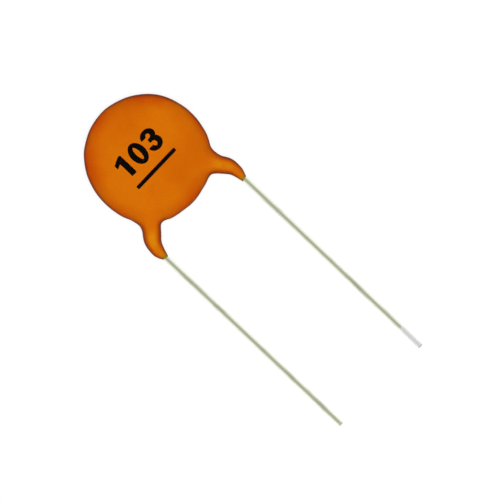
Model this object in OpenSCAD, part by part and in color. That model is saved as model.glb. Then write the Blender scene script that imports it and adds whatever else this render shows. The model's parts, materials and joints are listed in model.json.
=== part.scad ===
// Ceramic disc capacitor with two radial wire leads.
// A bare ceramic disc carries a silver electrode on each face. One wire is soldered across the
// front face and one across the rear. A dipped coat covers the disc and runs down each wire in
// a neck that tapers off onto the bare lead.
// The part lies on its rear face and its lead tips, marked face up, leads towards -Y.
// All sizes are in millimetres.

/* [Ceramic disc] */
// Diameter of the bare ceramic
ceramic_d = 9; // [7:0.1:11]
// Thickness of the bare ceramic
ceramic_t = 0.5; // [0.3:0.05:1.5]
// Bare ceramic left between an electrode's edge and the rim
electrode_margin = 0.4; // [0.2:0.05:0.8]
// Thickness of each electrode
electrode_t = 0.03; // [0.02:0.01:0.06]

/* [Solder] */
// Width of the bead along each wire
solder_w = 1.6; // [1.3:0.1:2.2]
// Solder over the top of the wire
solder_cover = 0.07; // [0.05:0.01:0.2]
// Solder film between the electrode and the wire
solder_film = 0.03; // [0.02:0.01:0.08]
// Straight bead beyond the end of the wire
wire_end_cover = 0.1; // [0.05:0.05:0.4]
// Electrode left bare beyond each end of a bead
solder_margin = 0.4; // [0.2:0.05:0.8]

/* [Leads] */
// Diameter of the wire
wire_d = 0.5; // [0.4:0.05:0.8]
// Distance between the straight leads, centre to centre
lead_pitch = 10; // [8:0.5:12.5]
// How far the leads sit to the left of the disc's centre
pitch_offset = 0.37; // [0:0.01:1]
// Bare length of the right lead
right_bare = 21.9; // [5:0.1:30]
// Bare length of the left lead
left_bare = 21.8; // [5:0.1:30]
// Radius of the bend in each lead's centreline, seen from the front
bend_r = 2; // [1.4:0.1:2.6]
// Straight wire between the jog and the bend of the right lead
right_bend_gap = 0.49; // [0.1:0.01:1]
// Straight wire between the jog and the bend of the left lead
left_bend_gap = 0.74; // [0.1:0.01:1]
// Slope of the jog that brings each wire down to the disc's mid-plane
jog_angle = 25; // [20:1:35]
// Radius of the jog's two bends
jog_r = 1; // [0.7:0.1:1.3]
// Straight wire between the ceramic's rim and the jog
jog_gap = 0.2; // [0.1:0.05:0.5]

/* [Coating] */
// Coat beyond the ceramic's rim
coat_rim = 1.15; // [0.9:0.05:1.5]
// Coat over the solder in the middle of each face
coat_face = 0.57; // [0.4:0.01:1]
// Radius of the crown on each face
crown_r = 25; // [18:1:60]
// Width of the rounded edge, from the rim inwards
edge_w = 1.45; // [1.2:0.05:1.8]
// Width of the right neck below the rim
right_neck_w = 1.56; // [1.4:0.02:2]
// Width of the left neck below the rim
left_neck_w = 1.7; // [1.4:0.02:2]
// Width of the right neck at its tip, before its end is rounded
right_tip_w = 0.74; // [0.7:0.02:1.2]
// Width of the left neck at its tip, before its end is rounded
left_tip_w = 0.86; // [0.7:0.02:1.2]
// Length of the rounded end of each neck
neck_end = 1; // [0.5:0.05:1.4]
// How far the coat runs on past the right lead's bend
right_neck_tail = 0.94; // [0.5:0.02:2]
// How far the coat runs on past the left lead's bend
left_neck_tail = 0.77; // [0.5:0.02:2]
// Coat left round the wire at the very end of each neck
neck_lip = 0.06; // [0.04:0.01:0.15]
// Radius where a neck's outer side flows into the rim
outer_fillet_r = 1.6; // [1.2:0.1:2]
// Radius where a neck's inner side flows into the rim
inner_fillet_r = 1; // [0.6:0.1:1.6]

/* [Hidden] */

// Sides, faces and flanks are told apart by a sign
RIGHT = 1;
LEFT = -1;
FRONT = 1;
REAR = -1;
OUTER = 1;
INNER = -1;
// A cut runs this far past the surface it opens
CUT = 1;
// Straight lengths of wire run this far into the bends, and the bends are this much thicker
WIRE_LAP = 0.02;
BEND_SWELL = 0.002;

// Sides of round wire, and of discs and beads
WIRE_FN = 48;
ROUND_FN = 96;

// Mesh of the coating
rim_step = 4;      // most degrees between ribs round the disc
root_rows = 8;     // ribs along each side of a neck's root
web_cols = 6;      // columns across a neck's root
neck_rows = 15;    // ribs along each side of a neck
end_rows = 6;      // of those, ribs on its rounded end
arch_steps = 7;    // steps of a rib from the outline up to the spine
plate_rings = 6;   // rings from the spine circle in to the centre

// Heights above the disc's mid-plane
wire_r = wire_d / 2;
electrode_r = ceramic_d / 2 - electrode_margin;
electrode_z = ceramic_t / 2 + electrode_t;
wire_z = electrode_z + solder_film + wire_r;
solder_h = solder_film + wire_d + solder_cover;
crown_h = electrode_z + solder_h + coat_face;

// The bead's straight stretch reaches this far each way from the centre
solder_reach = electrode_r - solder_margin - solder_w / 2;
// Radius of the bead's round top
solder_r = (pow(solder_w / 2, 2) + pow(solder_h, 2)) / (2 * solder_h);
wire_start = wire_end_cover - solder_reach;

// Route of each wire, by distance from the disc's centre
jog_start = ceramic_d / 2 + jog_gap;
jog_fall = 2 * jog_r * (1 - cos(jog_angle));
jog_slope_len = (wire_z - jog_fall) / sin(jog_angle);
jog_run = 2 * jog_r * sin(jog_angle) + jog_slope_len * cos(jog_angle);
jog_end = jog_start + jog_run;

function pick(side, right, left) = side == RIGHT ? right : left;
function bare_len(side) = pick(side, right_bare, left_bare);
// Distance of the straight lead from the disc's centre, across
function lead_x(side) = lead_pitch / 2 - side * pitch_offset;
function bend_start(side) = jog_end + pick(side, right_bend_gap, left_bend_gap);
// Angle between the wire and straight down, where it leaves the disc
function wire_angle(side) =
    let (start = bend_start(side))
    asin((lead_x(side) - bend_r) / norm([start, bend_r])) + atan(bend_r / start);
function bend_len(side) = bend_r * wire_angle(side) * PI / 180;
function bend_end_y(side) =
    -bend_start(side) * cos(wire_angle(side)) - bend_r * sin(wire_angle(side));
function neck_len(side) =
    bend_start(side) + bend_len(side) + pick(side, right_neck_tail, left_neck_tail);
function neck_end_y(side) = bend_end_y(side) - pick(side, right_neck_tail, left_neck_tail);
function tip_y(side) = neck_end_y(side) - bare_len(side);

// Angle between the wire and straight down, at distance s along it from the disc's centre
function heading(side, s) =
    let (turned = (s - bend_start(side)) / bend_r * 180 / PI)
    min(wire_angle(side), max(0, wire_angle(side) - turned));
function along(side, s) = [side * sin(heading(side, s)), -cos(heading(side, s))];
function outward(side, s) = [side * cos(heading(side, s)), sin(heading(side, s))];
// Point of the wire's centreline, seen from the front, at distance s along it
function route(side, s) =
    let (
        bend_from = bend_start(side),
        bend_to = bend_from + bend_len(side),
        bend_centre = [side * (lead_x(side) - bend_r), bend_end_y(side)]
    )
    s <= bend_from ? s * along(side, s)
    : s <= bend_to ? bend_centre + bend_r * outward(side, s)
    : [side * lead_x(side), bend_end_y(side) - (s - bend_to)];

// --- Coating surface ---
// The coat is a row of ribs. Each rib arches from a point of the outline, in the mid-plane, up
// to a point of the spine on either face. The spine is a circle inside the disc's rim. It turns
// out on an arc along each side of a neck's root, and from there it is the wire's own route.
rim_r = ceramic_d / 2 + coat_rim;
spine_r = rim_r - edge_w;
function crown(r) = crown_h - crown_r + sqrt(pow(crown_r, 2) - r * r);
crown_slope = -spine_r / sqrt(pow(crown_r, 2) - pow(spine_r, 2));

function neck_half_w(side) = pick(side, right_neck_w, left_neck_w) / 2;
function fillet_r(flank) = flank == OUTER ? outer_fillet_r : inner_fillet_r;
// Centre of the fillet between a neck and the rim, [along the neck's axis, across it]
function fillet_centre(side, flank) =
    let (
        r = fillet_r(flank),
        across = neck_half_w(side) + r
    )
    [sqrt(pow(rim_r + r, 2) - pow(across, 2)), across];
function neck_root(side) =
    max(fillet_centre(side, OUTER).x, fillet_centre(side, INNER).x);
// The two sides of the spine come together here
function spine_merge(side) =
    min(fillet_centre(side, OUTER).x, fillet_centre(side, INNER).x);
function spine_arc_r(side) =
    (pow(spine_merge(side), 2) - pow(spine_r, 2)) / (2 * spine_r);
// Off the neck's axis by this angle, the spine leaves its circle for the arc
function spine_turn(side) = asin(spine_arc_r(side) / (spine_r + spine_arc_r(side)));

// Half the width of a neck at distance s, below its fillets
function neck_w(side, s) =
    let (
        root = neck_root(side),
        end = neck_len(side),
        lip = wire_r + neck_lip,
        tip = pick(side, right_tip_w, left_tip_w) / 2,
        t = min(1, max(0, (s - root) / (end - root))),
        w = tip + (neck_half_w(side) - tip) * (1 + cos(180 * t)) / 2,
        u = min(1, max(0, (s - end + neck_end) / neck_end))
    )
    lip + (w - lip) * sqrt(1 - u * u);

// Thickness above the mid-plane and its slope, at distance r from the centre, between the
// spine circle and the root of a neck
function root_h(side, r) =
    let (
        span = neck_root(side) - spine_r,
        t = (r - spine_r) / span,
        blend = t * t * (3 - 2 * t)
    )
    crown(spine_r) * (1 - blend) + neck_half_w(side) * blend
        + span * crown_slope * t * (1 - t) * (1 - t);
function root_slope(side, r) =
    let (
        span = neck_root(side) - spine_r,
        t = (r - spine_r) / span
    )
    6 * t * (1 - t) * (neck_half_w(side) - crown(spine_r)) / span
        + crown_slope * (1 - t) * (1 - 3 * t);

// A rib is [outline point, spine point, thickness above the mid-plane, slope of the face]
function neck_axis(side) = -90 + side * wire_angle(side);
function polar(r, a) = r * [cos(a), sin(a)];
function unit(v) = v / norm(v);
// From [along, across] a neck's axis at distance s to the part's own X and Y
function in_neck(side, flank, s, offset) =
    route(side, s) + offset.x * along(side, s) + flank * offset.y * outward(side, s);

// Outline point square across from a spine point, both [along, across] the neck's axis
function outline_at(side, flank, spine) =
    let (centre = fillet_centre(side, flank))
    spine.x >= centre.x ? [spine.x, neck_w(side, spine.x)]
    : spine.y * centre.x >= centre.y * spine.x ? rim_r * unit(spine)
    : centre + fillet_r(flank) * unit(spine - centre);

function rim_rib(a) = [polar(rim_r, a), polar(spine_r, a), crown(spine_r), crown_slope];
function root_spine(side, row) =
    let (
        r = spine_arc_r(side),
        turn = (90 - spine_turn(side)) * (1 - row / root_rows)
    )
    [spine_merge(side) - r * sin(turn), r * (1 - cos(turn))];
function root_rib(side, flank, row) =
    let (
        spine = root_spine(side, row),
        outline = outline_at(side, flank, spine)
    )
    [
        in_neck(side, flank, 0, outline), in_neck(side, flank, 0, spine),
        root_h(side, norm(spine)), root_slope(side, norm(spine))
    ];
function neck_rib(side, flank, s) =
    let (
        outline = outline_at(side, flank, [s, 0]),
        in_root = s < neck_root(side)
    )
    [
        in_neck(side, flank, s, outline - [s, 0]), route(side, s),
        in_root ? root_h(side, s) : neck_w(side, s), in_root ? root_slope(side, s) : 0
    ];

// Distances of a neck's ribs from the disc's centre, closer together round its end
function stations(side) =
    let (
        end_from = neck_len(side) - neck_end,
        shank = neck_rows - end_rows
    )
    [
        for (row = [0:neck_rows - 1])
            row < shank
            ? spine_merge(side) + (end_from - spine_merge(side)) * row / shank
            : end_from + neck_end * sin(90 * (row - shank) / (end_rows - 1))
    ];
function flank_ribs(side, flank) = concat(
    [for (row = [0:root_rows - 1]) root_rib(side, flank, row)],
    [for (s = stations(side)) neck_rib(side, flank, s)]
);
function reversed(list) = [for (i = [len(list) - 1:-1:0]) list[i]];
function spread(from, to, step) =
    let (count = ceil((to - from) / step))
    [for (i = [1:count - 1]) from + (to - from) * i / count];

// Ribs anticlockwise round the part, seen from the front
crotch_angles = spread(
    neck_axis(LEFT) + spine_turn(LEFT), neck_axis(RIGHT) - spine_turn(RIGHT), rim_step);
crown_angles = spread(
    neck_axis(RIGHT) + spine_turn(RIGHT), neck_axis(LEFT) - spine_turn(LEFT) + 360, rim_step);
ribs = concat(
    [for (a = crotch_angles) rim_rib(a)],
    flank_ribs(RIGHT, INNER), reversed(flank_ribs(RIGHT, OUTER)),
    [for (a = crown_angles) rim_rib(a)],
    flank_ribs(LEFT, OUTER), reversed(flank_ribs(LEFT, INNER))
);

// A neck takes up two flanks of ribs, which meet at its tip
flank_count = root_rows + neck_rows;
rib_count = len(ribs);
right_from = len(crotch_angles);
left_from = rib_count - 2 * flank_count;
function neck_from(side) = pick(side, right_from, left_from);
function tip_rib(side) = neck_from(side) + flank_count;
function neck_to(side) = neck_from(side) + 2 * flank_count - 1;
// Both flanks share the spine along the wire, so there the second flank uses the first's
function spine_owner(i) =
    let (side = i < left_from ? RIGHT : LEFT)
    i >= tip_rib(side) && i < tip_rib(side) + neck_rows ? 2 * tip_rib(side) - 1 - i : i;

// Arches: a point for each step from the rear spine, over the outline, to the front spine
arch_size = 2 * arch_steps + 1;
function arch_point(rib, step) =
    let (
        rise = 90 * step / arch_steps,
        p = rib[1] + (rib[0] - rib[1]) * cos(rise),
        h = rib[2] + rib[3] * (norm(p) - norm(rib[1]))
    )
    [p.x, p.y, h * sin(rise)];
arch_points = [
    for (rib = ribs, step = [-arch_steps:arch_steps])
        arch_point(rib, step)
];
function arch_at(i, step) =
    let (rib = i % rib_count)
    (abs(step) == arch_steps ? spine_owner(rib) : rib) * arch_size + step + arch_steps;
function spine_at(i, face) = arch_at(i, face * arch_steps);

// Webs: rows of points across the root of each neck, between the two sides of the spine
function web_angle(side, row, col) =
    let (spine = root_spine(side, row))
    neck_axis(side) + atan(spine.y / spine.x) * (2 * col / web_cols - 1);
web_size = root_rows * (web_cols - 1);
function web_points(side, face) = [
    for (row = [0:root_rows - 1], col = [1:web_cols - 1])
        let (r = norm(root_spine(side, row)))
        concat(polar(r, web_angle(side, row, col)), face * root_h(side, r))
];
function web_from(side, face) =
    len(arch_points) + (side == RIGHT ? 0 : 2 * web_size) + (face == FRONT ? 0 : web_size);
function web_at(side, face, row, col) =
    row == root_rows || col == 0 ? spine_at(neck_from(side) + row, face)
    : col == web_cols ? spine_at(neck_to(side) - row, face)
    : web_from(side, face) + row * (web_cols - 1) + col - 1;

// Plates: rings of points from the spine circle in to the centre of each face
function web_row_angles(side) = [for (col = [0:web_cols]) web_angle(side, 0, col)];
circle_angles = concat(
    crotch_angles, web_row_angles(RIGHT), crown_angles, web_row_angles(LEFT)
);
circle_count = len(circle_angles);
function circle_at(face) = concat(
    [for (i = [0:right_from - 1]) spine_at(i, face)],
    [for (col = [0:web_cols]) web_at(RIGHT, face, 0, col)],
    [for (i = [neck_to(RIGHT) + 1:left_from - 1]) spine_at(i, face)],
    [for (col = [0:web_cols]) web_at(LEFT, face, 0, col)]
);
front_circle = circle_at(FRONT);
rear_circle = circle_at(REAR);
plate_size = (plate_rings - 1) * circle_count + 1;
function plate_points(face) = concat(
    [
        for (ring = [1:plate_rings - 1], a = circle_angles)
            let (r = spine_r * (1 - ring / plate_rings))
            concat(polar(r, a), face * crown(r))
    ],
    [[0, 0, face * crown_h]]
);
plates_from = len(arch_points) + 4 * web_size;
function plate_from(face) = plates_from + (face == FRONT ? 0 : plate_size);
function plate_at(face, ring, k) =
    let (around = k % circle_count)
    ring == plate_rings ? plate_from(face) + plate_size - 1
    : ring > 0 ? plate_from(face) + (ring - 1) * circle_count + around
    : face == FRONT ? front_circle[around] : rear_circle[around];

coat_points = concat(
    arch_points,
    web_points(RIGHT, FRONT), web_points(RIGHT, REAR),
    web_points(LEFT, FRONT), web_points(LEFT, REAR),
    plate_points(FRONT), plate_points(REAR)
);

// Triangles of a patch with corners outer, inner, next inner and next outer, anticlockwise
// round the part. Corners that fall together leave one triangle.
function patch(face, a, b, c, d) = [
    if (b != c) face == FRONT ? [a, b, c] : [c, b, a],
    if (a != d) face == FRONT ? [a, c, d] : [d, c, a]
];
function flat(lists) = [for (list = lists, item = list) item];
arch_faces = flat([
    for (i = [0:rib_count - 1], step = [-arch_steps:arch_steps - 1])
        if (i + 1 != tip_rib(RIGHT) && i + 1 != tip_rib(LEFT))
            patch(FRONT, arch_at(i, step), arch_at(i, step + 1),
                  arch_at(i + 1, step + 1), arch_at(i + 1, step))
]);
web_faces = flat([
    for (side = [RIGHT, LEFT], face = [FRONT, REAR])
        for (row = [0:root_rows - 1], col = [0:web_cols - 1])
            patch(face, web_at(side, face, row + 1, col), web_at(side, face, row, col),
                  web_at(side, face, row, col + 1), web_at(side, face, row + 1, col + 1))
]);
plate_faces = flat([
    for (face = [FRONT, REAR], ring = [0:plate_rings - 1], k = [0:circle_count - 1])
        patch(face, plate_at(face, ring, k), plate_at(face, ring + 1, k),
              plate_at(face, ring + 1, k + 1), plate_at(face, ring, k + 1))
]);
// The flat ring at the end of each neck, where the wire comes out
function tip_face(side) = concat(
    [for (step = [-arch_steps:arch_steps]) arch_at(tip_rib(side) - 1, step)],
    [for (step = [arch_steps - 1:-1:1 - arch_steps]) arch_at(tip_rib(side), step)]
);
coat_faces = concat(
    arch_faces, web_faces, plate_faces, [tip_face(RIGHT), tip_face(LEFT)]
);

// --- Rest ---
// The rear crown and both lead tips touch the surface that the part lies on
lead_reach = -min(tip_y(RIGHT), tip_y(LEFT));
crown_centre = crown_r - crown_h;
rest_tilt = atan2(lead_reach, crown_centre + wire_r)
    - acos(crown_r / norm([crown_centre + wire_r, lead_reach]));
rest_z = crown_r - crown_centre * cos(rest_tilt);
outline_x = [for (rib = ribs) rib[0].x];
rest_x = -(min(outline_x) + max(outline_x)) / 2;
coat_top_y = max([for (p = arch_points) p.y * cos(rest_tilt) - p.z * sin(rest_tilt)]);
tip_end_y = -lead_reach * cos(rest_tilt) - wire_r * sin(rest_tilt);
rest_y = -(coat_top_y + tip_end_y) / 2;

module at_rest() {
    translate([rest_x, rest_y, rest_z]) rotate([rest_tilt, 0, 0]) children();
}

// --- Wire ---
// Turns +X to the wire's direction on the disc, with the given face up
module on_face(side, face) {
    rotate([0, 0, neck_axis(side)]) rotate([face == FRONT ? 0 : 180, 0, 0]) children();
}

// Straight wire from the origin along +X, lapped into the bends at its ends
module wire_length(len, lap_start = WIRE_LAP, lap_end = WIRE_LAP) {
    translate([-lap_start, 0, 0]) rotate([0, 90, 0])
        cylinder(h = lap_start + len + lap_end, r = wire_r, $fn = WIRE_FN);
}

// An arc of wire from the origin along +X, bending towards -Z by an angle
module wire_bend(radius, angle) {
    translate([0, 0, -radius]) rotate([-90, 0, 0]) rotate([0, 0, -90])
        rotate_extrude(angle = angle, $fn = ROUND_FN)
            translate([radius, 0]) circle(r = wire_r + BEND_SWELL, $fn = WIRE_FN);
}

// The straight wire across a face and its jog down to the mid-plane
module wire_on_disc(side) {
    slope_from = [jog_start + jog_r * sin(jog_angle), 0, wire_z - jog_fall / 2];
    slope_to = [jog_end - jog_r * sin(jog_angle), 0, jog_fall / 2];
    translate([wire_start, 0, wire_z]) wire_length(jog_start - wire_start, lap_start = 0);
    translate([jog_start, 0, wire_z]) wire_bend(jog_r, jog_angle);
    translate(slope_from) rotate([0, jog_angle, 0]) wire_length(norm(slope_to - slope_from));
    translate([jog_end, 0, 0]) rotate([0, 180, 0]) wire_bend(jog_r, jog_angle);
    translate([jog_end, 0, 0]) wire_length(bend_start(side) - jog_end);
}

// A whole wire: across its face, jog, bend and straight lead
module wire(side) {
    face = side == RIGHT ? FRONT : REAR;
    on_face(side, face) wire_on_disc(side);
    translate(concat(route(side, bend_start(side)), 0))
        rotate([0, 0, neck_axis(side)]) rotate([side * -90, 0, 0])
            wire_bend(bend_r, wire_angle(side));
    translate([side * lead_x(side), bend_end_y(side), 0])
        rotate([0, 0, -90]) wire_length(bend_end_y(side) - tip_y(side), lap_end = 0);
}

// --- Nodes ---
// Section of a bead, a slice of a circle, from x = from to its right edge
module bead_section(from) {
    intersection() {
        translate([0, solder_h - solder_r]) circle(r = solder_r, $fn = ROUND_FN);
        translate([from, 0]) square([solder_w - from, solder_h + CUT]);
    }
}

// Solder bead with round ends over one wire, wire left in
module bead(side) {
    face = side == RIGHT ? FRONT : REAR;
    on_face(side, face) translate([0, 0, electrode_z]) {
        for (end = [0, 180]) rotate([0, 0, end])
            translate([solder_reach, 0, 0]) rotate([0, 0, -90])
                rotate_extrude(angle = 180, $fn = ROUND_FN) bead_section(0);
        translate([-solder_reach, 0, 0]) rotate([90, 0, 90])
            linear_extrude(2 * solder_reach) bead_section(-solder_w);
    }
}

module electrode_layer(face) {
    translate([0, 0, face == FRONT ? ceramic_t / 2 : -electrode_z])
        cylinder(h = electrode_t, r = electrode_r, $fn = ROUND_FN);
}

module ceramic_plate() {
    translate([0, 0, -ceramic_t / 2]) cylinder(h = ceramic_t, d = ceramic_d, $fn = ROUND_FN);
}

// Dipped coat: a crowned round pillow with a neck down each lead
module coating() {
    color("DarkOrange") at_rest() difference() {
        polyhedron(points = coat_points, faces = coat_faces, convexity = 6);
        ceramic_plate();
        for (face = [FRONT, REAR]) electrode_layer(face);
        for (side = [RIGHT, LEFT]) {
            bead(side);
            wire(side);
        }
    }
}

module ceramic_disc() {
    color("Tan") at_rest() ceramic_plate();
}

module front_electrode() {
    color("Silver") at_rest() electrode_layer(FRONT);
}

module rear_electrode() {
    color("Silver") at_rest() electrode_layer(REAR);
}

module front_solder() {
    color("DarkGray") at_rest() difference() {
        bead(RIGHT);
        wire(RIGHT);
    }
}

module rear_solder() {
    color("DarkGray") at_rest() difference() {
        bead(LEFT);
        wire(LEFT);
    }
}

module left_lead() {
    color("LightGray") at_rest() wire(LEFT);
}

module right_lead() {
    color("LightGray") at_rest() wire(RIGHT);
}

coating();
ceramic_disc();
front_electrode();
rear_electrode();
front_solder();
rear_solder();
left_lead();
right_lead();
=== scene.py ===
import json
import math

import bpy
import numpy as np
from mathutils import Matrix, Vector, noise
from mathutils.bvhtree import BVHTree


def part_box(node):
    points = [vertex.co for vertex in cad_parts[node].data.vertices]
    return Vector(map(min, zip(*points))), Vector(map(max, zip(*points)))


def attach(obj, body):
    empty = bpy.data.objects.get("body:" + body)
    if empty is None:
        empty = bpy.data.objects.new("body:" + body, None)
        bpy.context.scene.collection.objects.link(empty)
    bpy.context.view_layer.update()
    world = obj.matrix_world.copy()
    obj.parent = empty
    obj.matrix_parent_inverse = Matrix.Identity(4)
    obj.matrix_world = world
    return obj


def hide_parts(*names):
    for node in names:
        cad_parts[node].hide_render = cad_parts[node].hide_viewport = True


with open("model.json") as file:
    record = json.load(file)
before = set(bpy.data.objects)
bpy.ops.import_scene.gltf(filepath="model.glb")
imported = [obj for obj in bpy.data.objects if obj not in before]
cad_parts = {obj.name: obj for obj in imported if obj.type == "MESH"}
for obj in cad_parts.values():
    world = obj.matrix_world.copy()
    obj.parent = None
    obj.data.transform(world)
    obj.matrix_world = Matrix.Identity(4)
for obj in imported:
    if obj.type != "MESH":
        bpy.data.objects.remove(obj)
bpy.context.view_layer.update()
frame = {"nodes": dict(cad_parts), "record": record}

mm = 0.001
samePoint = 0.0001 * mm     # vertices this near each other are one
onLine = 0.01               # vertices this near a line or a cut lie on it, in millimetres
mostGrain = (0.2, 0.8)      # nearly all values of a grain mask lie between these
print("frame loaded:", len(frame["nodes"]), "nodes")

# The disc's own frame: X to the right when the mark is read, Y up the mark, Z out of the marked face
discLow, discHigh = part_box("ceramic_disc")
discCentre = (discLow + discHigh) / 2
mounts = {m["name"]: m for m in frame["record"]["mounts"]}   # one for each lead, named as its node
leadWay = Vector(mounts["right_lead"]["axis"]).normalized()  # down the leads, towards their tips
discX = Vector((1, 0, 0))
discY = -leadWay
discZ = discX.cross(discY).normalized()
onDisc = Matrix.Translation(discCentre) @ Matrix((discX, discY, discZ)).transposed().to_4x4()
toDisc = onDisc.inverted()
rimRadius = (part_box("coating")[1].y - discCentre.y) / discY.y   # to the coat's edge, above the mark


def leadEnd(node, way):  # -1: where the coat ends and the bare lead starts, 1: the lead's tip
    mount = mounts[node]
    return Vector(mount["pos_m"]) + way * Vector(mount["axis"]) * mount["dims"]["length_mm"] * mm / 2


def ease(value, start, end):  # 0 at start, 1 at end and smooth between, for numbers and for arrays
    share = np.clip((value - start) / (end - start), 0, 1)
    return share * share * (3 - 2 * share)


def bell(places, atX, atY, width):  # 1 at a point of the disc, and less the further from it
    return np.exp(-((places[:, 0] - atX) ** 2 + (places[:, 1] - atY) ** 2) / width ** 2)


# Working with objects

def only(*pieces):  # selects these and nothing else
    for o in bpy.context.selected_objects:
        o.select_set(False)
    for o in pieces:
        o.select_set(True)
    bpy.context.view_layer.objects.active = pieces[0] if pieces else None


def openMesh(piece, mode="FACE"):
    only(piece)
    bpy.ops.object.mode_set(mode="EDIT")
    bpy.ops.mesh.select_mode(type=mode)
    bpy.ops.mesh.select_all(action="DESELECT")


def closeMesh():
    bpy.ops.object.mode_set(mode="OBJECT")


def pickAll():
    bpy.ops.mesh.select_all(action="SELECT")


def pickFaces(piece, test):  # selects the faces that pass the test, from edit mode and back to it
    bpy.ops.mesh.select_all(action="DESELECT")
    closeMesh()
    for face in piece.data.polygons:
        face.select = test(face)
    bpy.ops.object.mode_set(mode="EDIT")


def pickVertices(piece, test):
    bpy.ops.mesh.select_mode(type="VERT")
    bpy.ops.mesh.select_all(action="DESELECT")
    closeMesh()
    for vertex in piece.data.vertices:
        vertex.select = test(vertex.co)
    bpy.ops.object.mode_set(mode="EDIT")


def applyModifier(piece, kind, **settings):
    only(piece)
    modifier = piece.modifiers.new(kind.lower(), kind)
    for name, value in settings.items():
        setattr(modifier, name, value)
    bpy.ops.object.modifier_apply(modifier=modifier.name)


def placeInMesh(piece):
    closeMesh()
    only(piece)
    bpy.ops.object.transform_apply(location=True, rotation=True, scale=True)
    return piece


def mergedCopy(node, name):  # a CAD node's mesh with its loose triangles joined up
    piece = bpy.data.objects.new(name, frame["nodes"][node].data.copy())
    bpy.context.scene.collection.objects.link(piece)
    piece.data.materials.clear()
    only(piece)
    bpy.ops.mesh.customdata_custom_splitnormals_clear()
    openMesh(piece)
    pickAll()
    bpy.ops.mesh.remove_doubles(threshold=samePoint)
    bpy.ops.mesh.select_all(action="DESELECT")
    closeMesh()
    return piece


def searchTree(piece):
    corners = [v.co for v in piece.data.vertices]
    return BVHTree.FromPolygons(corners, [p.vertices for p in piece.data.polygons])


def paintMask(piece, name, values):  # one value for each vertex, which the piece's material reads
    layer = piece.data.attributes.new(name, "FLOAT", "POINT")
    layer.data.foreach_set("value", np.ascontiguousarray(values, dtype=np.float32))


def finishPiece(piece, material, nodes=()):
    piece.data.materials.clear()
    piece.data.materials.append(material)
    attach(piece, "root")
    if nodes:
        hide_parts(*nodes)


# Material parts that more than one finish uses

def addNode(tree, kind, **settings):
    node = tree.nodes.new(kind)
    for name, value in settings.items():
        setattr(node, name, value)
    return node


def join(tree, source, target):
    tree.links.new(source, target)


def mixColour(tree, amount, first, second):  # first and second are colours or sockets
    node = addNode(tree, "ShaderNodeMix", data_type="RGBA")
    join(tree, amount, node.inputs[0])
    for socket, colour in zip(node.inputs[6:8], (first, second)):
        if isinstance(colour, bpy.types.NodeSocket):
            join(tree, colour, socket)
        else:
            socket.default_value = (*colour, 1)
    return node.outputs[2]


def mathNode(tree, operation, *values, clamp=False):  # values are numbers or sockets
    node = addNode(tree, "ShaderNodeMath", operation=operation, use_clamp=clamp)
    for socket, value in zip(node.inputs, values):
        if isinstance(value, bpy.types.NodeSocket):
            join(tree, value, socket)
        else:
            socket.default_value = value
    return node.outputs[0]


def rangeNode(tree, value, where, result=(0, 1)):  # eases from one result to the other between two values
    node = addNode(tree, "ShaderNodeMapRange", interpolation_type="SMOOTHSTEP")
    join(tree, value, node.inputs[0])
    for socket, number in zip(node.inputs[1:5], (*where, *result)):
        socket.default_value = number
    return node.outputs[0]


def makeGrainGroup():  # even noise of a given size in millimetres, as a mask round 0.5
    group = bpy.data.node_groups.new("surfaceGrain", "ShaderNodeTree")
    group.interface.new_socket(name="Place", in_out="INPUT", socket_type="NodeSocketVector")
    for name in ("Size", "Roughness", "Contrast"):
        group.interface.new_socket(name=name, in_out="INPUT", socket_type="NodeSocketFloat")
    group.interface.new_socket(name="Mask", in_out="OUTPUT", socket_type="NodeSocketFloat")
    start = addNode(group, "NodeGroupInput")
    end = addNode(group, "NodeGroupOutput")
    perMetre = mathNode(group, "DIVIDE", 1 / mm, start.outputs["Size"])
    cloud = addNode(group, "ShaderNodeTexNoise", noise_dimensions="3D")
    cloud.inputs["Detail"].default_value = 3
    join(group, start.outputs["Place"], cloud.inputs["Vector"])
    join(group, perMetre, cloud.inputs["Scale"])
    join(group, start.outputs["Roughness"], cloud.inputs["Roughness"])
    centred = mathNode(group, "SUBTRACT", cloud.outputs["Fac"], 0.5)
    spread = mathNode(group, "MULTIPLY", centred, start.outputs["Contrast"])
    join(group, mathNode(group, "ADD", spread, 0.5, clamp=True), end.inputs["Mask"])
    return group


grainGroup = makeGrainGroup()


def grain(tree, size, contrast=1.0, roughness=0.5, stretch=(1, 1, 1)):
    # stretch lengthens the pattern along each axis of the disc's frame
    place = addNode(tree, "ShaderNodeTexCoord")
    turn = addNode(tree, "ShaderNodeMapping", vector_type="TEXTURE")
    turn.inputs["Location"].default_value = discCentre
    turn.inputs["Rotation"].default_value = onDisc.to_euler()
    turn.inputs["Scale"].default_value = stretch
    join(tree, place.outputs["Object"], turn.inputs["Vector"])
    node = addNode(tree, "ShaderNodeGroup", node_tree=grainGroup)
    join(tree, turn.outputs["Vector"], node.inputs["Place"])
    node.inputs["Size"].default_value = size
    node.inputs["Roughness"].default_value = roughness
    node.inputs["Contrast"].default_value = contrast
    return node.outputs["Mask"]


def painted(tree, name):  # a mask painted on the piece's own vertices
    return addNode(tree, "ShaderNodeAttribute", attribute_name=name).outputs["Fac"]


def bumps(tree, shader, *layers):  # each layer is (mask, height in millimetres)
    normal = None
    for mask, height in layers:
        bump = addNode(tree, "ShaderNodeBump")
        bump.inputs["Distance"].default_value = height * mm
        join(tree, mask, bump.inputs["Height"])
        if normal:
            join(tree, normal, bump.inputs["Normal"])
        normal = bump.outputs["Normal"]
    join(tree, normal, shader.inputs["Normal"])


def newMaterial(name, **sockets):  # sockets are plain values of the shader, by name
    material = bpy.data.materials.new(name)
    material.use_nodes = True
    shader = material.node_tree.nodes["Principled BSDF"]
    for socket, value in sockets.items():
        shader.inputs[socket.replace("_", " ")].default_value = value
    return material, material.node_tree, shader


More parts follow.
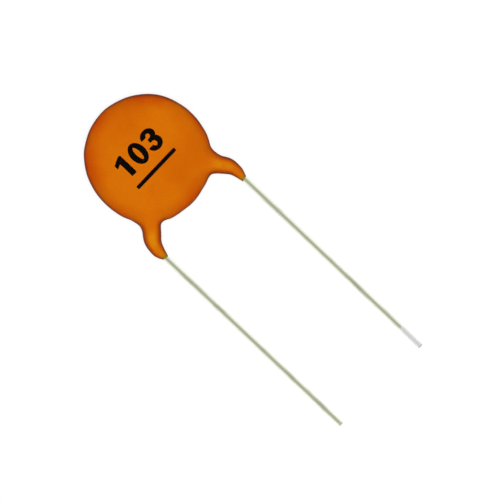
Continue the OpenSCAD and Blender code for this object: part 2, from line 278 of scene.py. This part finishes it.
# Camera, straight above the marked face
camera = {
    "lens": 200, "sensor": 36,
    "across": 44.74 * mm,               # width of the picture at the disc
    "pictureSize": 500,
    "discAt": (147.28, 157.68),         # pixel of the disc's centre
    "leadSlope": 43.53,                 # degrees that the leads fall below the horizontal
    "nearest": 1 * mm, "furthest": 10,
}


def makeCamera():
    bpy.ops.object.camera_add(location=(0, 0, 0))
    cam = bpy.context.object
    cam.name = "camera"
    cam.data.lens = camera["lens"]
    cam.data.sensor_width = camera["sensor"]
    cam.data.clip_start = camera["nearest"]
    cam.data.clip_end = camera["furthest"]
    turn = math.radians(camera["leadSlope"] - 90)
    right = Vector((math.cos(turn), math.sin(turn), 0))
    up = Vector((-math.sin(turn), math.cos(turn), 0))
    pixel = camera["across"] / camera["pictureSize"]
    half = camera["pictureSize"] / 2
    aside = right * (half - camera["discAt"][0]) * pixel
    below = up * (half - camera["discAt"][1]) * pixel
    middle = discCentre + aside - below
    height = camera["across"] * camera["lens"] / camera["sensor"]
    cam.location = (middle.x, middle.y, discCentre.z + height)
    cam.rotation_euler = (0, 0, turn)
    bpy.context.scene.camera = cam


makeCamera()
print("camera placed")

# Light: a soft box above and a dim even room, whose ceiling is darker in a mirror than its walls
light = {
    "boxSize": 0.08, "boxHeight": 0.20, "boxPower": 0.374,
    "room": 0.11,                       # strength of the light from all round
    "walls": 1.0, "ceiling": 0.49,      # how bright each is in a mirror
    "ceilingRise": (0.12, 0.85),        # upward part of a direction where walls turn into ceiling
    "floorSize": 4.0, "floorTone": 0.22,
    "floorLift": 0.80,                  # what makes the floor look pale without lighting the part
}


def makeLamp():
    bpy.ops.object.light_add(type="AREA", location=(0, 0, light["boxHeight"]))
    lamp = bpy.context.object
    lamp.name = "softBox"
    lamp.data.size = light["boxSize"]
    lamp.data.energy = light["boxPower"]
    lamp.visible_glossy = False


def mirrorRay(tree, path):  # 1 for a ray that comes by way of gloss or glass
    return mathNode(tree, "MAXIMUM", path.outputs["Is Glossy Ray"], path.outputs["Is Transmission Ray"])


def makeRoom():
    world = bpy.data.worlds.new("room")
    bpy.context.scene.world = world
    world.use_nodes = True
    tree = world.node_tree
    walls = tree.nodes["Background"]
    walls.inputs["Color"].default_value = (1, 1, 1, 1)
    path = addNode(tree, "ShaderNodeLightPath")
    ray = addNode(tree, "ShaderNodeSeparateXYZ")
    join(tree, addNode(tree, "ShaderNodeTexCoord").outputs["Generated"], ray.inputs[0])
    bright = rangeNode(tree, ray.outputs["Z"], light["ceilingRise"], (light["walls"], light["ceiling"]))
    mirrored = mathNode(tree, "MULTIPLY", mirrorRay(tree, path), bright)
    strength = mathNode(tree, "MAXIMUM", mirrored, light["room"])
    join(tree, mathNode(tree, "MAXIMUM", strength, path.outputs["Is Camera Ray"]), walls.inputs["Strength"])


def makeFloor():
    bpy.ops.mesh.primitive_plane_add(size=light["floorSize"], location=(0, 0, 0))
    floor = bpy.context.object
    floor.name = "floor"
    material = bpy.data.materials.new("floorPaper")
    material.use_nodes = True
    tree = material.node_tree
    tree.nodes.remove(tree.nodes["Principled BSDF"])
    paper = addNode(tree, "ShaderNodeBsdfDiffuse")
    paper.inputs["Color"].default_value = (*[light["floorTone"]] * 3, 1)
    path = addNode(tree, "ShaderNodeLightPath")
    seen = mathNode(tree, "MAXIMUM", path.outputs["Is Camera Ray"], mirrorRay(tree, path))
    lift = addNode(tree, "ShaderNodeEmission")
    join(tree, mathNode(tree, "MULTIPLY", seen, light["floorLift"]), lift.inputs["Strength"])
    total = addNode(tree, "ShaderNodeAddShader")
    join(tree, paper.outputs[0], total.inputs[0])
    join(tree, lift.outputs[0], total.inputs[1])
    join(tree, total.outputs[0], tree.nodes["Material Output"].inputs["Surface"])
    floor.data.materials.append(material)


bpy.context.scene.view_settings.view_transform = "Standard"
makeLamp()
makeRoom()
makeFloor()
print("light and floor made")

# The dipped coat: the CAD coat with its skin refined, slightly uneven as a dipped skin is.
# Lengths are in millimetres, and a pair of limits gives where a mask starts and where it is full.
coat = {
    "cavityReach": 0.012,               # a face this near an inner piece is a wall of the cavity
    "quadAngle": 60,                    # triangles that meet within these degrees make a quad
    "skinRounds": 2,                    # times that the skin is subdivided
    "crease": 50,                       # edges that turn more degrees than this stay sharp
    "waveSize": 2.6, "waveHeight": 0.018,     # long swells
    "rippleSize": 0.9, "rippleHeight": 0.004,
    "stillNearWire": 0.5,               # the swells die out this near a wire
    "fuller": [  # fuller and tighter places round the outline: X, Y, reach and fullness
        # left side and left neck
        (-5.4, 1.8, 1.8, -0.05), (-5.6, 0.4, 1.5, -0.04), (-5.3, -2.4, 1.6, 0.12), (-4.9, -3.15, 0.8, 0.09),
        (-6.0, -6.6, 0.8, 0.08), (-4.6, -6.5, 0.7, 0.08),
        # between the necks
        (-3.35, -5.05, 0.45, -0.06), (-2.6, -5.15, 0.7, 0.05), (-2.4, -5.15, 1.3, 0.13),
        (-1.8, -5.4, 1.4, 0.05), (0.1, -5.6, 1.9, 0.09), (2.0, -5.35, 0.9, 0.03), (2.2, -5.3, 1.6, 0.08),
        (2.85, -5.25, 0.4, -0.06),
        # right neck and right side
        (5.2, -6.9, 0.6, 0.08), (4.6, -4.2, 0.9, 0.07), (4.9, -3.1, 1.4, 0.03), (5.2, -2.6, 2.4, 0.09),
        (5.4, -1.6, 1.0, -0.02), (5.0, 2.6, 1.6, 0.03),
        # top
        (4.4, 3.7, 2.2, 0.08), (3.0, 5.0, 1.6, 0.04), (1.5, 5.4, 2.5, 0.05), (0.4, 5.8, 1.5, 0.07),
        (-1.5, 5.5, 2.5, 0.08), (-3.5, 4.5, 1.2, 0.05),
    ],
    "fullerReach": 1.6,                 # the reach of such a place, in widths of its bell
    "fullerNearWire": 0.15,             # the fullness dies out this near a wire
    "neckReach": 1.5,                   # the skin this near a wire, seen from above, is its neck
    "featherLength": 0.30, "featherLeft": 0.55,   # a neck's last stretch thins to this share of its depth
    "featherSlant": {"left_lead": (0.05, 200), "right_lead": (0.06, 20)},   # how oblique it ends, and where
    "tuck": 0.010,                      # how far the film's lip sits into the wire, so that no gap shows
    "lip": 0.008,                       # how far the lip always reaches past the cavity's rim
    # redder patches inside the rim: angle from X, half spread, width, strength, and addition to edgeStart,
    # which moves where the painted edge shade begins there
    "rimPatches": [(43, 26, 1.5, 1.0, 0.10), (98, 26, 1.6, 0.8, 0.0), (138, 30, 1.8, 0.9, 0.05),
                   (-14, 26, 0.8, 0.7, 0.03), (-90, 24, 1.5, 0.75, -0.06), (-166, 24, 1.3, 0.6, 0.02)],
    "neckDepth": (0.7, -0.6),           # limits of the necks, in depth inside the rim
    # painted red shade round the steep rim and along the sides of the necks, and its limits in flatness (1
    # level, 0 upright)
    "rimRedAndShade": 0.5, "rimRedFlat": (0.80, 0.20),
    "neckRedShade": 0.55, "neckRedFlat": (0.96, 0.76),
    # flatness where the painted edge shade begins, how much less makes it full, and how dark it gets
    "edgeStart": 0.74, "edgeWidth": 0.30, "edgeShade": 0.76,
    # limits in flatness of the painted shade on the necks' sides
    "neckEdgeFlat": (0.86, 0.46),
    # yellower spots along the tops of the necks, partly the thinner film over the wire and partly a painted
    # highlight where the tops face up: X, Y, reach and strength
    "ridgeSpots": [(-5.1, -5.4, 0.75, 1.0), (-5.37, -6.92, 0.3, 0.4),
                   (4.0, -4.9, 0.6, 0.6), (4.5, -5.8, 0.5, 0.6)],
    "ridgeFlat": (0.80, 0.98),
    "thinNearEnd": (0.55, 0.05),        # limits of the thin film, in distance from the coat's end
    # edge is the dark colour of the painted shade on steep sides; red serves the redder patches and the
    # painted red shade; ridge serves the neck tops' tint and their painted highlight
    "face": (0.670, 0.158, 0.0015), "faceDeep": (0.610, 0.122, 0.001),
    "red": (0.640, 0.062, 0.001), "edge": (0.180, 0.021, 0.001),
    "ridge": (0.700, 0.250, 0.003), "thin": (0.330, 0.200, 0.006),
    "patches": {"size": 5.0, "contrast": 1.6}, "deepWhere": (0.35, 0.85),
    # blotches break up the redness and the ridges: between these values of theirs, from this share to all
    "blotches": {"size": 0.8, "contrast": 1.6},
    "redBreaks": ((0.1, 0.7), (0.55, 1.0)), "ridgeBreaks": ((0.15, 0.75), (0.60, 1.0)),
    "specks": {"size": 0.10, "contrast": 1.5, "roughness": 0.7},
    "speckTone": (0.93, 1.06), "speckHeight": 0.0015,
    "lumps": {"size": 0.45}, "lumpHeight": 0.006,
    "roughness": 0.46, "roughnessSpan": (0.40, 0.54), "gloss": 0.06,
}


def refineSkin():
    piece = mergedCopy("coating", "dipped_coat")
    inner = [searchTree(o) for name, o in frame["nodes"].items() if name != "coating"]
    reach = coat["cavityReach"] * mm
    angle = math.radians(coat["quadAngle"])
    openMesh(piece)
    pickFaces(piece, lambda face: any(tree.find_nearest(face.center, reach)[0] for tree in inner))
    bpy.ops.mesh.separate(type="SELECTED")
    pickAll()
    bpy.ops.mesh.tris_convert_to_quads(face_threshold=angle, shape_threshold=angle)
    closeMesh()
    cavity = [o for o in bpy.context.selected_objects if o != piece][0]
    applyModifier(piece, "SUBSURF", levels=coat["skinRounds"], render_levels=coat["skinRounds"])
    return piece, cavity


def discPlaces(piece):  # every vertex and its normal in the disc's frame, places in millimetres
    count = len(piece.data.vertices)
    places, normals = np.empty(count * 3), np.empty(count * 3)
    piece.data.vertices.foreach_get("co", places)
    piece.data.vertex_normals.foreach_get("vector", normals)
    turn = np.array(toDisc.to_3x3())
    shift = np.array(toDisc.translation)
    return (places.reshape(-1, 3) @ turn.T + shift) / mm, normals.reshape(-1, 3) @ turn.T


def wireDistance(piece):  # from every vertex to the nearest lead, in millimetres
    trees = [searchTree(frame["nodes"][node]) for node in mounts]
    return np.array([min(tree.find_nearest(v.co)[3] for tree in trees) for v in piece.data.vertices]) / mm


def unevenSkin(piece):
    places, normals = discPlaces(piece)
    distance = wireDistance(piece)
    lift = np.array([
        noise.noise(Vector(p) / coat["waveSize"]) * coat["waveHeight"]
        + noise.noise(Vector(p) / coat["rippleSize"]) * coat["rippleHeight"] for p in places])
    moved = places + normals * (lift * ease(distance, 0, coat["stillNearWire"]))[:, None]
    outward = normals * (1, 1, 0)
    free = ease(distance, 0, coat["fullerNearWire"])
    for atX, atY, reach, fullness in coat["fuller"]:
        near = bell(places, atX, atY, reach / coat["fullerReach"])
        moved += outward * (near * fullness * free)[:, None]
    moved = featherNecks(moved)
    turn = np.array(onDisc.to_3x3())
    world = (moved * mm) @ turn.T + np.array(onDisc.translation)
    piece.data.vertices.foreach_set("co", world.ravel())
    piece.data.update()


def featherNecks(places):  # thins the end of each neck down onto its wire, and ends it a little obliquely
    places = places.copy()
    for node in mounts:
        end = toDisc @ leadEnd(node, -1) / mm
        radius = mounts[node]["dims"]["r_mm"]
        slant, at = coat["featherSlant"][node]
        across, height, along = places[:, 0] - end.x, places[:, 2] - end.z, places[:, 1] - end.y
        near = (np.abs(across) < coat["neckReach"]) & (along < coat["featherLength"])
        out = np.maximum(np.hypot(across, height), 1e-6)    # from the wire's middle, and never nought
        last = ease(along, coat["featherLength"], 0)
        kept = radius + (out - radius) * (1 - (1 - coat["featherLeft"]) * last) - coat["tuck"] * last
        oblique = slant * (np.cos(np.arctan2(height, across) - math.radians(at)) - 1)
        places[near, 0] = (end.x + across * kept / out)[near]
        places[near, 2] = (end.z + height * kept / out)[near]
        places[near, 1] += ((oblique - coat["lip"]) * last)[near]
    return places


def closeSkin(piece, cavity):  # the skin and the cavity become one closed wall again
    only(piece, cavity)
    bpy.ops.object.join()
    for side in (1, -1):  # the coat opens round one wire on each side
        openMesh(piece, "EDGE")
        bpy.ops.mesh.select_non_manifold(use_wire=False, use_multi_face=False, use_non_contiguous=False,
                                         use_verts=False)
        closeMesh()
        for edge in piece.data.edges:
            edge.select = edge.select and piece.data.vertices[edge.vertices[0]].co.x * side > 0
        bpy.ops.object.mode_set(mode="EDIT")
        bpy.ops.mesh.bridge_edge_loops()
        closeMesh()
    bpy.ops.object.shade_smooth_by_angle(angle=math.radians(coat["crease"]))


def paintCoat(piece):
    places, normals = discPlaces(piece)
    x, y = places[:, 0], places[:, 1]
    flat = np.abs(normals[:, 2])
    angle = np.degrees(np.arctan2(y, x))
    depth = rimRadius / mm - np.hypot(x, y)
    onNeck = ease(depth, *coat["neckDepth"])
    # painted red shade as the rim and the necks' sides turn steep; the rim patches below add a redder tone of
    # the coat
    rimRedAndShade = coat["rimRedAndShade"] * ease(flat, *coat["rimRedFlat"])
    neckRedShade = coat["neckRedShade"] * onNeck * ease(flat, *coat["neckRedFlat"])
    red = np.maximum(rimRedAndShade, neckRedShade)
    edgeStart = np.full(len(x), coat["edgeStart"])
    for at, spread, width, strength, added in coat["rimPatches"]:
        turn = (angle - at + 180) % 360 - 180
        patch = np.exp(-(turn / spread) ** 2)
        red = np.maximum(red, strength * patch * ease(depth, width, 0))
        edgeStart += added * patch
    # painted dark shade where the rim and the necks' sides turn steep
    rimShade = ease(flat, edgeStart, edgeStart - coat["edgeWidth"])
    neckShade = onNeck * ease(flat, *coat["neckEdgeFlat"])
    # partly the thinner film over the wire, partly a painted highlight on the up-facing tops of the necks
    ridge = np.zeros(len(x))
    for atX, atY, reach, strength in coat["ridgeSpots"]:
        ridge = np.maximum(ridge, strength * bell(places, atX, atY, reach))
    ridge *= onNeck * ease(flat, *coat["ridgeFlat"])
    thin = np.zeros(len(x))
    for node in mounts:
        end = toDisc @ leadEnd(node, -1) / mm
        thin = np.maximum(thin, ease(np.hypot(x - end.x, y - end.y), *coat["thinNearEnd"]))
    paintMask(piece, "rimRedAndShade", red)
    paintMask(piece, "paintedEdgeShade", np.maximum(rimShade, neckShade))
    paintMask(piece, "neckRidgeTintAndHighlight", ridge)
    paintMask(piece, "thinTip", thin)


def coatMaterial():
    material, tree, shader = newMaterial("coatOrange", Roughness=coat["roughness"],
                                         Specular_IOR_Level=coat["gloss"])
    patches = grain(tree, **coat["patches"])
    blotches = grain(tree, **coat["blotches"])
    specks = grain(tree, **coat["specks"])
    colour = mixColour(tree, rangeNode(tree, patches, coat["deepWhere"]), coat["face"], coat["faceDeep"])
    # the redder tone with painted red shade, and the neck tops' tint with painted highlight, each broken up
    # by blotches
    for mask, breaks, paint in (("rimRedAndShade", "redBreaks", "red"), ("neckRidgeTintAndHighlight", "ridgeBreaks", "ridge")):
        broken = mathNode(tree, "MULTIPLY", painted(tree, mask), rangeNode(tree, blotches, *coat[breaks]))
        colour = mixColour(tree, broken, colour, coat[paint])
    colour = mixColour(tree, painted(tree, "thinTip"), colour, coat["thin"])
    # painted dark shade on the steep sides
    shade = mathNode(tree, "MULTIPLY", painted(tree, "paintedEdgeShade"), coat["edgeShade"])
    colour = mixColour(tree, shade, colour, coat["edge"])
    tone = addNode(tree, "ShaderNodeHueSaturation")
    join(tree, colour, tone.inputs["Color"])
    join(tree, rangeNode(tree, specks, mostGrain, coat["speckTone"]), tone.inputs["Value"])
    join(tree, tone.outputs["Color"], shader.inputs["Base Color"])
    join(tree, rangeNode(tree, blotches, mostGrain, coat["roughnessSpan"]), shader.inputs["Roughness"])
    bumps(tree, shader, (grain(tree, **coat["lumps"]), coat["lumpHeight"]), (specks, coat["speckHeight"]))
    return material


def makeCoat():
    piece, cavity = refineSkin()
    unevenSkin(piece)
    closeSkin(piece, cavity)
    paintCoat(piece)
    finishPiece(piece, coatMaterial(), ["coating"])
    return piece


dippedCoat = makeCoat()
print("coat made:", len(dippedCoat.data.polygons), "faces")

# Printed value: the plain code 103 over a bar, drawn flat in millimetres from the disc's centre
mark = {
    "low": -0.20, "bowlLow": -0.25, "high": 1.92,
    "stroke": 0.405, "upright": 0.55,   # width of a stroke at the top and bottom of a bowl, and at its sides
    "oneStem": (-2.10, -1.53), "oneShoulder": -1.80, "oneJoin": 1.36,
    "oneFlag": (-2.57, 1.34), "oneFlagHeight": 0.46,
    "zeroSpan": (-1.045, 0.49),
    "threeSpan": (0.67, 2.18), "threeWaist": 0.88, "threeTie": (1.14, 1.60),
    "upperMouth": (180, 270), "lowerMouth": (90, 180),   # where the bowls of the three are open, in degrees
    "barSpan": (-2.57, 2.28), "barLow": -1.43, "barHigh": -1.07,
    "ovalPoints": 60,
    "sharp": 30, "corner": 0.10, "cornerCuts": 3,   # a corner of more degrees is rounded this far
    "cell": 0.3, "cells": (10, 7),      # cuts that let the ink bend: their spacing, and how many each way
    "clear": 5,                         # height that the flat mark starts from, above the coat
    "film": 0.016, "sunk": 0.005,       # thickness of the ink, and how deep it lies in the coat
    "crease": 40,
    "black": (0.0012, 0.0008, 0.0008), "worn": (0.030, 0.010, 0.003),
    "wear": {"size": 0.16, "contrast": 1.8, "roughness": 0.7}, "wornWhere": (0.62, 0.95),
    "pores": {"size": 0.12, "contrast": 1.4}, "poreHeight": 0.002,
    "clouds": {"size": 0.5}, "roughness": 0.5, "roughnessSpan": (0.40, 0.62), "gloss": 0.05,
}


def boxMiddle(span, low, high):
    return Vector(((span[0] + span[1]) / 2, (low + high) / 2, 0))


def stretched(name, span, low, high, addShape, **settings):  # a shape fitted to its box, with its mesh open
    middle = boxMiddle(span, low, high)
    only()
    addShape(location=middle, **settings)
    piece = bpy.context.object
    piece.name = name
    openMesh(piece)
    pickAll()
    bpy.ops.transform.resize(value=(span[1] - span[0], high - low, 1), center_override=middle)
    return piece


def flatBar(name, span, low, high):
    return placeInMesh(stretched(name, span, low, high, bpy.ops.mesh.primitive_plane_add, size=1))


def turnOf(way):  # direction round the letter, from 0 to 360 degrees
    return math.degrees(math.atan2(way.y, way.x)) % 360


def flatOval(name, span, low, high, mouth=None):  # an oval ring, open between two angles
    piece = stretched(name, span, low, high, bpy.ops.mesh.primitive_circle_add,
                      vertices=mark["ovalPoints"], radius=0.5, fill_type="NGON")
    middle = boxMiddle(span, low, high)
    wide = span[1] - span[0]
    bpy.ops.mesh.inset(thickness=mark["stroke"])
    narrower = (wide - 2 * mark["upright"]) / (wide - 2 * mark["stroke"])
    bpy.ops.transform.resize(value=(narrower, 1, 1), center_override=middle)
    bpy.ops.mesh.delete(type="FACE")
    placeInMesh(piece)
    if mouth:
        openMesh(piece)
        pickFaces(piece, lambda face: mouth[0] < turnOf(face.center - middle) < mouth[1])
        bpy.ops.mesh.delete(type="FACE")
        closeMesh()
    return piece


def drawOne():  # a stem whose upper left edge is pulled out into the flag
    piece = flatBar("ink_one", mark["oneStem"], mark["low"], mark["high"])
    left, notch, top = mark["oneStem"][0], mark["oneJoin"], mark["high"]
    openMesh(piece)
    pickAll()
    bpy.ops.mesh.bisect(plane_co=(0, notch, 0), plane_no=(0, 1, 0))
    pickVertices(piece, lambda co: co.x < left + onLine and co.y > notch - onLine)
    bpy.ops.mesh.extrude_region_move()
    middle = (left, (notch + top) / 2, 0)
    flagX, flagY = mark["oneFlag"]
    shorter = mark["oneFlagHeight"] / (top - notch)
    bpy.ops.transform.resize(value=(1, shorter, 1), center_override=middle)
    bpy.ops.transform.translate(value=(flagX - middle[0], flagY - middle[1], 0))
    pickVertices(piece, lambda co: abs(co.x - left) < onLine and co.y > top - onLine)
    bpy.ops.transform.translate(value=(mark["oneShoulder"] - left, 0, 0))
    closeMesh()
    return piece


def sortMesh(piece):  # a boolean returns its mesh in any order, so this rewrites it in one fixed order
    old = piece.data
    corners = sorted(old.vertices, key=lambda v: tuple(v.co))
    rank = {v.index: number for number, v in enumerate(corners)}
    rings = []
    for face in old.polygons:
        ring = [rank[index] for index in face.vertices]
        first = ring.index(min(ring))
        rings.append(ring[first:] + ring[:first])
    piece.data = bpy.data.meshes.new(piece.name)
    piece.data.from_pydata([v.co for v in corners], [], sorted(rings))
    bpy.data.meshes.remove(old)


def drawThree():  # two open bowls and the tie where they meet, fused as slabs and taken back to one flat face
    slab = 1                # thickness of a slab
    upward = 0.9            # a face whose normal rises this far is a top
    seam = 0.001            # corners this near each other are one
    straight = 1            # a corner of fewer degrees goes
    waistLow = mark["threeWaist"] - mark["stroke"] / 2
    waistHigh = mark["threeWaist"] + mark["stroke"] / 2
    parts = [
        flatOval("ink_three", mark["threeSpan"], mark["bowlLow"], waistHigh, mark["lowerMouth"]),
        flatOval("ink_three", mark["threeSpan"], waistLow, mark["high"], mark["upperMouth"]),
        flatBar("ink_three", mark["threeTie"], waistLow, waistHigh)]
    for part in parts:
        openMesh(part)
        pickAll()
        bpy.ops.mesh.extrude_region_move(TRANSFORM_OT_translate={"value": (0, 0, slab)})
        pickAll()
        bpy.ops.mesh.normals_make_consistent()
        closeMesh()
    piece = parts[0]
    for part in parts[1:]:
        applyModifier(piece, "BOOLEAN", object=part, operation="UNION", solver="EXACT")
        sortMesh(piece)
        bpy.data.objects.remove(part)
    openMesh(piece)
    pickFaces(piece, lambda face: face.normal.z < upward)
    bpy.ops.mesh.delete(type="FACE")
    pickAll()
    bpy.ops.transform.translate(value=(0, 0, -slab))
    bpy.ops.mesh.remove_doubles(threshold=seam)
    bpy.ops.mesh.dissolve_limited(angle_limit=math.radians(straight))
    closeMesh()
    return piece


def outline(piece):  # the edges that only one face uses
    used = {}
    for face in piece.data.polygons:
        for key in face.edge_keys:
            used[key] = used.get(key, 0) + 1
    return [key for key, count in used.items() if count == 1]


def roundCorners(piece):  # where the outline turns sharply
    openMesh(piece, "VERT")
    closeMesh()
    vertices = piece.data.vertices
    ways = {}
    for edge in outline(piece):
        for here, there in (edge, reversed(edge)):
            ways.setdefault(here, []).append((vertices[there].co - vertices[here].co).normalized())
    limit = -math.cos(math.radians(mark["sharp"]))
    for vertex in vertices:
        pair = ways.get(vertex.index, [])
        vertex.select = len(pair) == 2 and pair[0].dot(pair[1]) > limit
    bpy.ops.object.mode_set(mode="EDIT")
    bpy.ops.mesh.bevel(affect="VERTICES", offset=mark["corner"], offset_type="OFFSET",
                       segments=mark["cornerCuts"])
    closeMesh()


def layOnCoat(piece):  # cut into cells, dropped on the coat and given the ink's thickness
    openMesh(piece)
    for way, cells in zip((Vector((1, 0, 0)), Vector((0, 1, 0))), mark["cells"]):
        for step in range(-cells, cells + 1):
            pickAll()
            bpy.ops.mesh.bisect(plane_co=way * step * mark["cell"], plane_no=way)
    closeMesh()
    for vertex in piece.data.vertices:
        vertex.co.z = mark["clear"]
    piece.matrix_world = onDisc @ Matrix.Scale(mm, 4)
    bpy.context.view_layer.update()
    applyModifier(piece, "SHRINKWRAP", target=dippedCoat, wrap_method="PROJECT", use_project_z=True,
                  use_positive_direction=False, use_negative_direction=True)
    applyModifier(piece, "SOLIDIFY", thickness=mark["film"], offset=1 - 2 * mark["sunk"] / mark["film"])
    placeInMesh(piece)
    bpy.ops.object.shade_smooth_by_angle(angle=math.radians(mark["crease"]))


def inkMaterial():
    material, tree, shader = newMaterial("inkBlack", Roughness=mark["roughness"],
                                         Specular_IOR_Level=mark["gloss"])
    worn = rangeNode(tree, grain(tree, **mark["wear"]), mark["wornWhere"])
    rough = rangeNode(tree, grain(tree, **mark["clouds"]), mostGrain, mark["roughnessSpan"])
    join(tree, mixColour(tree, worn, mark["black"], mark["worn"]), shader.inputs["Base Color"])
    join(tree, rough, shader.inputs["Roughness"])
    bumps(tree, shader, (grain(tree, **mark["pores"]), mark["poreHeight"]))
    return material


def printMark():
    bar = flatBar("ink_bar", mark["barSpan"], mark["barLow"], mark["barHigh"])
    ring = flatOval("ink_zero", mark["zeroSpan"], mark["bowlLow"], mark["high"])
    ink = inkMaterial()
    for piece in (drawOne(), ring, drawThree(), bar):
        roundCorners(piece)
        layOnCoat(piece)
        finishPiece(piece, ink)


printMark()
print("mark printed")

# Leads: round tinned wire, nipped off by side cutters. Lengths are in millimetres.
lead = {
    # distance from the tip, then what is left of the width and of the height there
    "nip": [(0.24, 1.0, 1.0), (0.13, 0.99, 0.93), (0.04, 0.96, 0.82), (0.0, 0.90, 0.72)],
    "tipHighlight": {"left_lead": (0.1, 0.3), "right_lead": (2.35, 1.0)},   # painted highlight near the tips: length from the tip, and strength
    "highlightFade": 0.3, "fadeCuts": 4,    # length over which the painted highlight ends, and the steps in it
    "crease": 40,
    # tin and dull are the wire's own tones; the third colour is the pale tin of the painted highlight
    "tin": (0.850, 0.893, 0.690), "dull": (0.680, 0.710, 0.540), "highlightTin": (0.960, 0.960, 0.940),
    "core": (0.500, 0.450, 0.400),      # the cut end shows the wire's steel and copper
    "dieMarks": {"size": 0.06, "contrast": 1.8, "stretch": (1, 40, 1)}, "dieShare": 0.25, "dieHeight": 0.002,
    "clouds": {"size": 0.7, "contrast": 2.0, "stretch": (1, 2.5, 1)}, "dullWhere": (0.45, 0.95),
    "dents": {"size": 0.35, "contrast": 1.5}, "dentHeight": 0.004,
    "roughness": 0.30, "roughWhere": (0.2, 0.9), "roughnessSpan": (0.24, 0.44),
    # roughness and metal within the painted highlight
    "highlightRoughness": 0.62, "highlightMetal": 0.8,
}


def makeLead(node, name):
    piece = mergedCopy(node, name)
    tip = leadEnd(node, 1)
    length, strength = lead["tipHighlight"][node]
    fade = [length + lead["highlightFade"] * step / lead["fadeCuts"] for step in range(lead["fadeCuts"] + 1)]
    openMesh(piece)
    for back in [nip[0] for nip in lead["nip"][:-1]] + fade:
        pickAll()
        bpy.ops.mesh.bisect(plane_co=tip - leadWay * back * mm, plane_no=leadWay)
    for back, wide, high in lead["nip"][1:]:
        centre = tip - leadWay * back * mm
        pickVertices(piece, lambda co: abs((co - centre).dot(leadWay)) < onLine * mm)
        bpy.ops.transform.resize(value=(wide, 1, high), center_override=centre)
    closeMesh()
    bpy.ops.object.shade_smooth_by_angle(angle=math.radians(lead["crease"]))
    back = np.array([(tip - vertex.co).dot(leadWay) for vertex in piece.data.vertices]) / mm
    # painted highlight near the tip, fading in over its last stretch
    paintMask(piece, "paintedTipHighlight", strength * ease(back, length + lead["highlightFade"], length))
    paintMask(piece, "cutEnd", ease(back, lead["nip"][-2][0], 0))
    return piece


def tinMaterial():
    material, tree, shader = newMaterial("tinnedWire", Metallic=1.0, Roughness=lead["roughness"])
    dieMarks = grain(tree, **lead["dieMarks"])
    clouds = grain(tree, **lead["clouds"])
    tipHighlight = painted(tree, "paintedTipHighlight")
    colour = mixColour(tree, rangeNode(tree, clouds, lead["dullWhere"]), lead["tin"], lead["dull"])
    colour = mixColour(tree, mathNode(tree, "MULTIPLY", dieMarks, lead["dieShare"]), colour, lead["dull"])
    # painted highlight near the tips
    colour = mixColour(tree, tipHighlight, colour, lead["highlightTin"])
    colour = mixColour(tree, painted(tree, "cutEnd"), colour, lead["core"])
    join(tree, colour, shader.inputs["Base Color"])
    join(tree, rangeNode(tree, tipHighlight, (0, 1), (1, lead["highlightMetal"])), shader.inputs["Metallic"])
    worn = rangeNode(tree, clouds, lead["roughWhere"], lead["roughnessSpan"])
    matt = mathNode(tree, "MULTIPLY", tipHighlight, lead["highlightRoughness"])
    join(tree, mathNode(tree, "MAXIMUM", worn, matt), shader.inputs["Roughness"])
    bumps(tree, shader, (dieMarks, lead["dieHeight"]), (grain(tree, **lead["dents"]), lead["dentHeight"]))
    return material


def makeLeads():
    tin = tinMaterial()
    for node, name in (("left_lead", "left_wire"), ("right_lead", "right_wire")):
        finishPiece(makeLead(node, name), tin, [node])


makeLeads()
print("leads made")

# Inside the coat: the fired disc, its silvered faces and the solder that holds the leads
inside = {
    "firedCeramic": {
        "nodes": ["ceramic_disc"], "metal": 0.0,
        "colour": (0.420, 0.330, 0.230), "spots": (0.250, 0.185, 0.120), "spotsWhere": (0.55, 0.9),
        "grain": {"size": 0.07, "contrast": 2.2, "roughness": 0.8}, "height": 0.004,
        "roughness": 0.62, "roughWhere": mostGrain, "roughnessSpan": (0.52, 0.72),
    },
    "firedSilver": {
        "nodes": ["front_electrode", "rear_electrode"], "metal": 1.0,
        "colour": (0.560, 0.540, 0.500), "spots": (0.780, 0.770, 0.740),
        "grain": {"size": 0.12, "contrast": 1.6, "stretch": (6, 1, 1)}, "height": 0.003,
        "roughness": 0.48, "roughWhere": mostGrain, "roughnessSpan": (0.40, 0.56),
    },
    "solderTin": {
        "nodes": ["front_solder", "rear_solder"], "metal": 1.0,
        "colour": (0.600, 0.605, 0.600), "spots": (0.420, 0.420, 0.410),
        "grain": {"size": 0.25, "contrast": 2.0, "roughness": 0.6}, "height": 0.006,
        "roughness": 0.32, "roughWhere": (0.3, 0.8), "roughnessSpan": (0.22, 0.45),
    },
}


def innerMaterial(name, finish):
    material, tree, shader = newMaterial(name, Metallic=finish["metal"], Roughness=finish["roughness"])
    pattern = grain(tree, **finish["grain"])
    spots = rangeNode(tree, pattern, finish["spotsWhere"]) if "spotsWhere" in finish else pattern
    join(tree, mixColour(tree, spots, finish["colour"], finish["spots"]), shader.inputs["Base Color"])
    rough = rangeNode(tree, pattern, finish["roughWhere"], finish["roughnessSpan"])
    join(tree, rough, shader.inputs["Roughness"])
    bumps(tree, shader, (pattern, finish["height"]))
    return material


def dressInside():
    for name, finish in inside.items():
        material = innerMaterial(name, finish)
        for node in finish["nodes"]:
            for place in frame["nodes"][node].material_slots:
                place.material = material


dressInside()
print("inside dressed")
